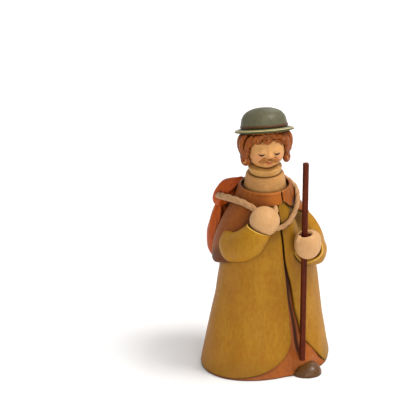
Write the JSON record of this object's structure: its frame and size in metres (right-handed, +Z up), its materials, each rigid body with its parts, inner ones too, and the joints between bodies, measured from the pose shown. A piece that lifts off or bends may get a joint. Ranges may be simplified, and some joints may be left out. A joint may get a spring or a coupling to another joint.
{
  "type": "nativity shepherd figurine",
  "caption": "Carved and stained wooden shepherd in a long mantle, holding a sack's rope and a square staff, with a lift-off head plugged into a turned neck ring.",
  "frame": {"origin": "on the flat underside, straight below the centre of the round neck socket", "axes": "+Z up along the neck socket's axis; the shepherd faces -Y, and his left hand with the staff is on the +X side"},
  "size_m": [0.1003, 0.0944, 0.199],
  "materials": {
    "stained_wood": "carved wood under satin stains: ochre mantle and sleeves, orange robe and sack, brown cape, bare tan hands and rope",
    "bare_wood": "turned wood left pale, with fine tool rings",
    "painted_head": "carved wood under satin stains: tan face, chestnut hair, grey-green hat with a darker brim",
    "walnut_stain": "square wooden rod in dark red-brown stain, satin"
  },
  "bodies": {
    "root": {"carved_figure": "stained_wood", "neck_ring": "bare_wood", "head": "painted_head", "staff": "walnut_stain"}
  },
  "joints": []
}
